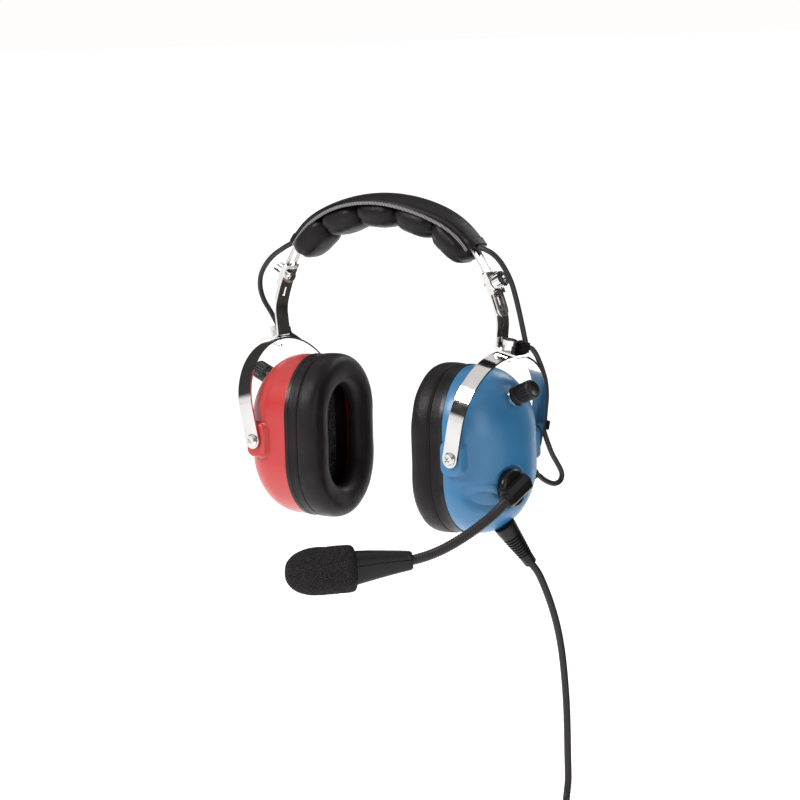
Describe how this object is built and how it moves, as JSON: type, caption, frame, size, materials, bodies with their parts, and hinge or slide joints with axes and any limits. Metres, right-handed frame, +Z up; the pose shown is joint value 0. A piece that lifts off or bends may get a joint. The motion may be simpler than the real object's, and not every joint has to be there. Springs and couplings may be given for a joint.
{
  "type": "aviation headset",
  "caption": "Two-cup headset with a padded sprung headband, sliding arms, swivelling stirrups, volume knobs, a boom microphone, and a cord with twin plugs.",
  "frame": {"origin": "midway between the two cups, on the line through their tilt axes", "axes": "+X to the wearer's left ear, -Y to the wearer's front, +Z up through the crown of the headband"},
  "size_m": [0.2362, 0.1988, 0.5452],
  "materials": {
    "leatherette": "soft satin, near black",
    "piping": "woven grey cord",
    "spring_steel": "polished strip",
    "chrome": "bright plated",
    "fasteners": "bright zinc",
    "cable": "satin black jacket",
    "shell_blue": "satin moulding with a fine texture",
    "shell_red": "satin moulding with a fine texture",
    "black_plastic": "satin black",
    "foam": "speckled open-cell foam",
    "gooseneck_sleeve": "finely ribbed black sleeve",
    "microphone": "dull metal",
    "plug_body": "nickel contacts on black grips"
  },
  "bodies": {
    "headband": {"head_cover": "leatherette", "cover_piping": "piping", "pad_lobes": "leatherette", "spring_band": "spring_steel", "crossover_top": "cable", "crossover_upper_left": "cable", "crossover_upper_right": "cable"},
    "arm_left": {"arm_left": "chrome", "guide_bracket_left": "chrome", "arm_fasteners_left": "fasteners", "cable_clip_upper_left": "black_plastic"},
    "thumbscrew_left": {"thumbscrew_left": "chrome"},
    "stirrup_left": {"stirrup_left": "chrome", "cable_clip_lower_left": "black_plastic", "crossover_middle_left": "cable", "crossover_lower_left": "cable"},
    "cup_left": {"ear_shell_left": "shell_blue", "pivot_screws_left": "fasteners", "seal_plate_left": "black_plastic", "ear_seal_left": "leatherette", "liner_foam_left": "foam", "speaker_left": "fasteners", "volume_pot_left": "fasteners", "cable_grommet_left": "black_plastic", "strain_relief": "black_plastic", "main_cord": "cable", "cord_hank": "cable", "hank_tie": "black_plastic", "cord_junction": "black_plastic", "phone_lead": "cable", "mic_lead": "cable", "phone_plug": "plug_body", "mic_plug": "plug_body"},
    "knob_left": {"volume_knob_left": "black_plastic"},
    "arm_right": {"arm_right": "chrome", "guide_bracket_right": "chrome", "arm_fasteners_right": "fasteners", "cable_clip_upper_right": "black_plastic"},
    "thumbscrew_right": {"thumbscrew_right": "chrome"},
    "stirrup_right": {"stirrup_right": "chrome", "cable_clip_lower_right": "black_plastic", "crossover_middle_right": "cable", "crossover_lower_right": "cable"},
    "cup_right": {"ear_shell_right": "shell_red", "pivot_screws_right": "fasteners", "seal_plate_right": "black_plastic", "ear_seal_right": "leatherette", "liner_foam_right": "foam", "speaker_right": "fasteners", "volume_pot_right": "fasteners", "cable_grommet_right": "black_plastic"},
    "knob_right": {"volume_knob_right": "black_plastic"},
    "boom": {"boom_hub": "black_plastic", "boom_clamp": "black_plastic", "gooseneck": "gooseneck_sleeve", "mic_housing_lower": "black_plastic", "mic_housing_upper": "black_plastic", "mic_capsule": "microphone", "windscreen": "foam"}
  },
  "joints": [
    {"name": "arm_slide_left", "type": "hinge", "parent": "headband", "child": "arm_left", "pos_m": [-0.0189, 0, 0.05], "axis": [0, 1, 0], "range_deg": [-4.5, 6.8], "deforming": ["crossover_upper_left"]},
    {"name": "thumbscrew_turn_left", "type": "hinge", "parent": "arm_left", "child": "thumbscrew_left", "pos_m": [0.08716, 0, 0.1017], "axis": [0.8988, 0, 0.4384], "range_deg": [0, 300]},
    {"name": "stirrup_swivel_left", "type": "hinge", "parent": "arm_left", "child": "stirrup_left", "pos_m": [0.09088, 0, 0.05809], "axis": [0.2164, 0, 0.9763], "range_deg": [-25, 25], "deforming": ["crossover_middle_left"]},
    {"name": "cup_tilt_left", "type": "hinge", "parent": "stirrup_left", "child": "cup_left", "pos_m": [0.078, 0, 0], "axis": [0, 1, 0], "range_deg": [-12, 12], "deforming": ["crossover_lower_left"]},
    {"name": "volume_left", "type": "hinge", "parent": "cup_left", "child": "knob_left", "pos_m": [0.0945, 0, 0.0325], "axis": [0.9205, 0, 0.3907], "range_deg": [-140, 140]},
    {"name": "arm_slide_right", "type": "hinge", "parent": "headband", "child": "arm_right", "pos_m": [0.0189, 0, 0.05], "axis": [0, -1, 0], "range_deg": [-4.5, 6.8], "deforming": ["crossover_upper_right"]},
    {"name": "thumbscrew_turn_right", "type": "hinge", "parent": "arm_right", "child": "thumbscrew_right", "pos_m": [-0.08716, 0, 0.1017], "axis": [-0.8988, 0, 0.4384], "range_deg": [0, 300]},
    {"name": "stirrup_swivel_right", "type": "hinge", "parent": "arm_right", "child": "stirrup_right", "pos_m": [-0.09088, 0, 0.05809], "axis": [-0.2164, 0, 0.9763], "range_deg": [-25, 25], "deforming": ["crossover_middle_right"]},
    {"name": "cup_tilt_right", "type": "hinge", "parent": "stirrup_right", "child": "cup_right", "pos_m": [-0.078, 0, 0], "axis": [0, -1, 0], "range_deg": [-12, 12], "deforming": ["crossover_lower_right"]},
    {"name": "volume_right", "type": "hinge", "parent": "cup_right", "child": "knob_right", "pos_m": [-0.0945, 0, 0.0325], "axis": [-0.9205, 0, 0.3907], "range_deg": [-140, 140]},
    {"name": "boom_swing", "type": "hinge", "parent": "cup_left", "child": "boom", "pos_m": [0.095, -0.0075, -0.02], "axis": [-1, 0, 0], "range_deg": [-60, 70]}
  ]
}
